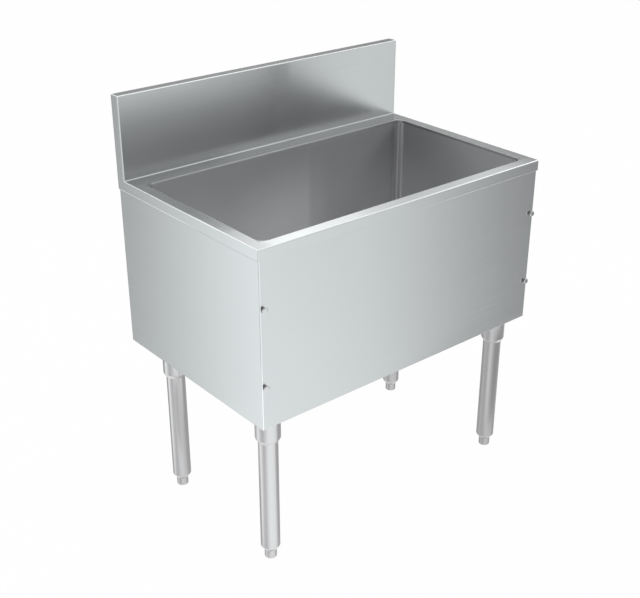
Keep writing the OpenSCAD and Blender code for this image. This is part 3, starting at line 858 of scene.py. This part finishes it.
class StageOperator(bpy.types.Operator):
    """Makes the floor, the lights, the world and the camera"""

    bl_idname = "ice_bin.stage"
    bl_label = "Stage"

    def execute(self, context):
        stage = context.scene.ice_bin_stage
        self.make_floor()
        self.make_cards()
        self.make_world(context.scene)
        self.add_light(
            "key_light", place=(0.4, 0.2, 3.2), target=(0, 0, 0.4), size=(2.4, 2.0), power=stage.key_power,
        )
        self.add_light(
            "side_light", place=(-2.6, 0.6, 1.6), target=(0, 0, 0.5), size=(1.2, 1.8), power=stage.side_power,
        )
        self.make_camera(context.scene, stage)
        context.scene.view_settings.view_transform = "Standard"
        return {"FINISHED"}

    def add_plane(self, name, low, high):
        """A plane between two opposite corners, linked to the scene."""
        corners = [low, (high[0], low[1], low[2]), high, (low[0], high[1], high[2])]
        mesh = bpy.data.meshes.new(name)
        mesh.from_pydata(corners, [], [(0, 1, 2, 3)])
        plane = bpy.data.objects.new(name, mesh)
        bpy.context.scene.collection.objects.link(plane)
        return plane

    def make_floor(self):
        """A paper floor that the camera sees almost white."""
        floor = self.add_plane("floor", (-FLOOR_REACH, -FLOOR_REACH, 0), (FLOOR_REACH, FLOOR_REACH, 0))
        material, shade = new_material("floor_paper")
        seen = shade.node("ShaderNodeLightPath").outputs["Is Camera Ray"]
        paper = shade.node("ShaderNodeBsdfDiffuse", inputs={"Color": (FLOOR_TONE, FLOOR_TONE, FLOOR_TONE, 1)})
        white = shade.light("ShaderNodeEmission", 1.0)
        pale = shade.mix_shader(0.02, white, paper.outputs[0])
        shade.finish(shade.mix_shader(seen, paper.outputs[0], pale))
        floor.data.materials.append(material)
        floor.visible_glossy = False

    def make_cards(self):
        """Three dark cards that only reflections show, as painted shade: under the bin, and upright before
        two of the legs.
        """
        foot_low, foot_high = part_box("foot_rear_right")
        foot = (foot_low + foot_high) / 2

        def under_bin(x, y, _):
            clear = abs(x - foot.x).at_least(abs(y - foot.y)).smooth(0.1, 0.16, 0.55, 1.0)
            front = y.smooth(-0.28, -0.16).at_least(0.76 * x.smooth(0.1, 0.25))
            thin = 1 - 0.2 * x.smooth(-0.2, 0.05) * y.fade(0.0, 0.15)
            return x.smooth(-0.6, -0.05) * x.fade(0.4, 0.52) * front * clear * thin

        def before_right_leg(x, _, z):
            return x.smooth(0.05, 0.38) * x.fade(0.54, 0.61) * z.fade(0.272, 0.293)

        def before_left_leg(x, _, z):
            ends = x.smooth(-0.56, -0.46) * x.smooth(-0.372, -0.35, 1.0, 0.5) * x.fade(-0.33, -0.3)
            slanted = z - 0.6 * (x + 0.36)
            return ends * z.smooth(0.0, 0.1) * slanted.fade(0.24, 0.29)

        foot_z = 1 * MM
        for name, low, high, cover, level in (
            ("floor_shade", (-0.6, -0.33, foot_z), (0.55, 0.4, foot_z), under_bin, 0.52),
            ("leg_shade", (0.0, -0.33, foot_z), (0.62, -0.33, 0.295), before_right_leg, 0.42),
            ("rear_leg_shade", (-0.57, 0.06, foot_z), (-0.29, 0.06, 0.31), before_left_leg, 0.72),
        ):
            self.add_card(name, low, high, cover, level)

    def add_card(self, name, low, high, cover, level):
        """A card with a glow of this level where cover(x, y, z) is 1, and clear where it is 0."""
        card = self.add_plane(name, low, high)
        material, shade = new_material(name)
        mask = cover(*shade.place())
        clear = shade.node("ShaderNodeBsdfTransparent").outputs[0]
        shade.finish(shade.mix_shader(mask, clear, shade.light("ShaderNodeEmission", level)))
        card.data.materials.append(material)
        card.visible_camera = card.visible_diffuse = card.visible_shadow = card.visible_transmission = False

    def make_world(self, scene):
        """White to the camera, soft light to dull surfaces, and a studio to the steels that reflect it."""
        scene.world = bpy.data.worlds.new("studio")
        shade = Shade(scene.world, "ShaderNodeOutputWorld")
        rays = shade.node("ShaderNodeLightPath").outputs
        x, y, z = shade.axes(shade.coords("Generated"))
        bearing = x.math("ARCTAN2", y)
        degrees = bearing * (180 / math.pi)
        walls = wall_light(shade, bearing, degrees, z)
        low = low_light(walls, degrees, z)
        aloft = z.smooth(0.02, 0.14)
        level = low + aloft * (high_light(x, y, z) - low)
        tint = shade.mix_colour(walls.smooth(0.5, 1.4) * (1 - aloft), CEILING_TINT, WALL_TINT)
        gloss = shade.light("ShaderNodeBackground", level, tint)
        white = shade.light("ShaderNodeBackground", 1.0)
        soft = shade.light("ShaderNodeBackground", SOFT_LEVEL)
        plain = shade.mix_shader(rays["Is Camera Ray"], soft, white)
        shade.finish(shade.mix_shader(rays["Is Glossy Ray"], plain, gloss))

    def add_light(self, name, place, target, size, power):
        """An area light at a place, turned toward its target."""
        data = bpy.data.lights.new(name, "AREA")
        data.shape = "RECTANGLE"
        data.size, data.size_y = size
        data.energy = power
        light = bpy.data.objects.new(name, data)
        light.location = place
        light.rotation_mode = "QUATERNION"
        light.rotation_quaternion = (Vector(target) - Vector(place)).to_track_quat("-Z", "Y")
        bpy.context.scene.collection.objects.link(light)

    def make_camera(self, scene, stage):
        """The camera at the photograph's viewing angle."""
        azimuth = math.radians(CAMERA_AZIMUTH)
        elevation = math.radians(CAMERA_ELEVATION)
        level = math.cos(elevation)
        toward = Vector((-math.sin(azimuth) * level, math.cos(azimuth) * level, -math.sin(elevation)))
        data = bpy.data.cameras.new("camera")
        data.lens = stage.lens
        data.sensor_width = SENSOR_WIDTH
        data.clip_end = SIGHT
        camera = bpy.data.objects.new("camera", data)
        camera.location = CAMERA_PLACE
        camera.rotation_mode = "QUATERNION"
        camera.rotation_quaternion = toward.to_track_quat("-Z", "Y")
        scene.collection.objects.link(camera)
        scene.camera = camera


class IceBinPanel(bpy.types.Panel):
    """Lists the ice bin's steps and settings"""

    bl_idname = "VIEW3D_PT_ice_bin"
    bl_label = "Ice bin"
    bl_space_type = "VIEW_3D"
    bl_region_type = "UI"
    bl_category = "Ice Bin"

    def draw(self, context):
        for operator in OPERATORS:
            self.layout.operator(operator.bl_idname)
        for name in GROUPS:
            group = getattr(context.scene, name)
            box = self.layout.box()
            for setting in group.__annotations__:
                box.prop(group, setting)


GROUPS = {"ice_bin_finish": IceBinFinish, "ice_bin_thread": IceBinThread, "ice_bin_stage": IceBinStage}
OPERATORS = (
    SheetsOperator, LinerOperator, DrainOperator, LegsOperator, FeetOperator, FastenersOperator,
    StageOperator,
)


def register():
    for name, group in GROUPS.items():
        bpy.utils.register_class(group)
        setattr(bpy.types.Scene, name, PointerProperty(type=group))
    for entry in (*OPERATORS, IceBinPanel):
        bpy.utils.register_class(entry)


def unregister():
    for entry in reversed((*OPERATORS, IceBinPanel)):
        bpy.utils.unregister_class(entry)
    for name, group in reversed(GROUPS.items()):
        delattr(bpy.types.Scene, name)
        bpy.utils.unregister_class(group)


def main():
    register()
    for operator in OPERATORS:
        group, name = operator.bl_idname.split(".")
        getattr(getattr(bpy.ops, group), name)()


if __name__ == "__main__":
    main()
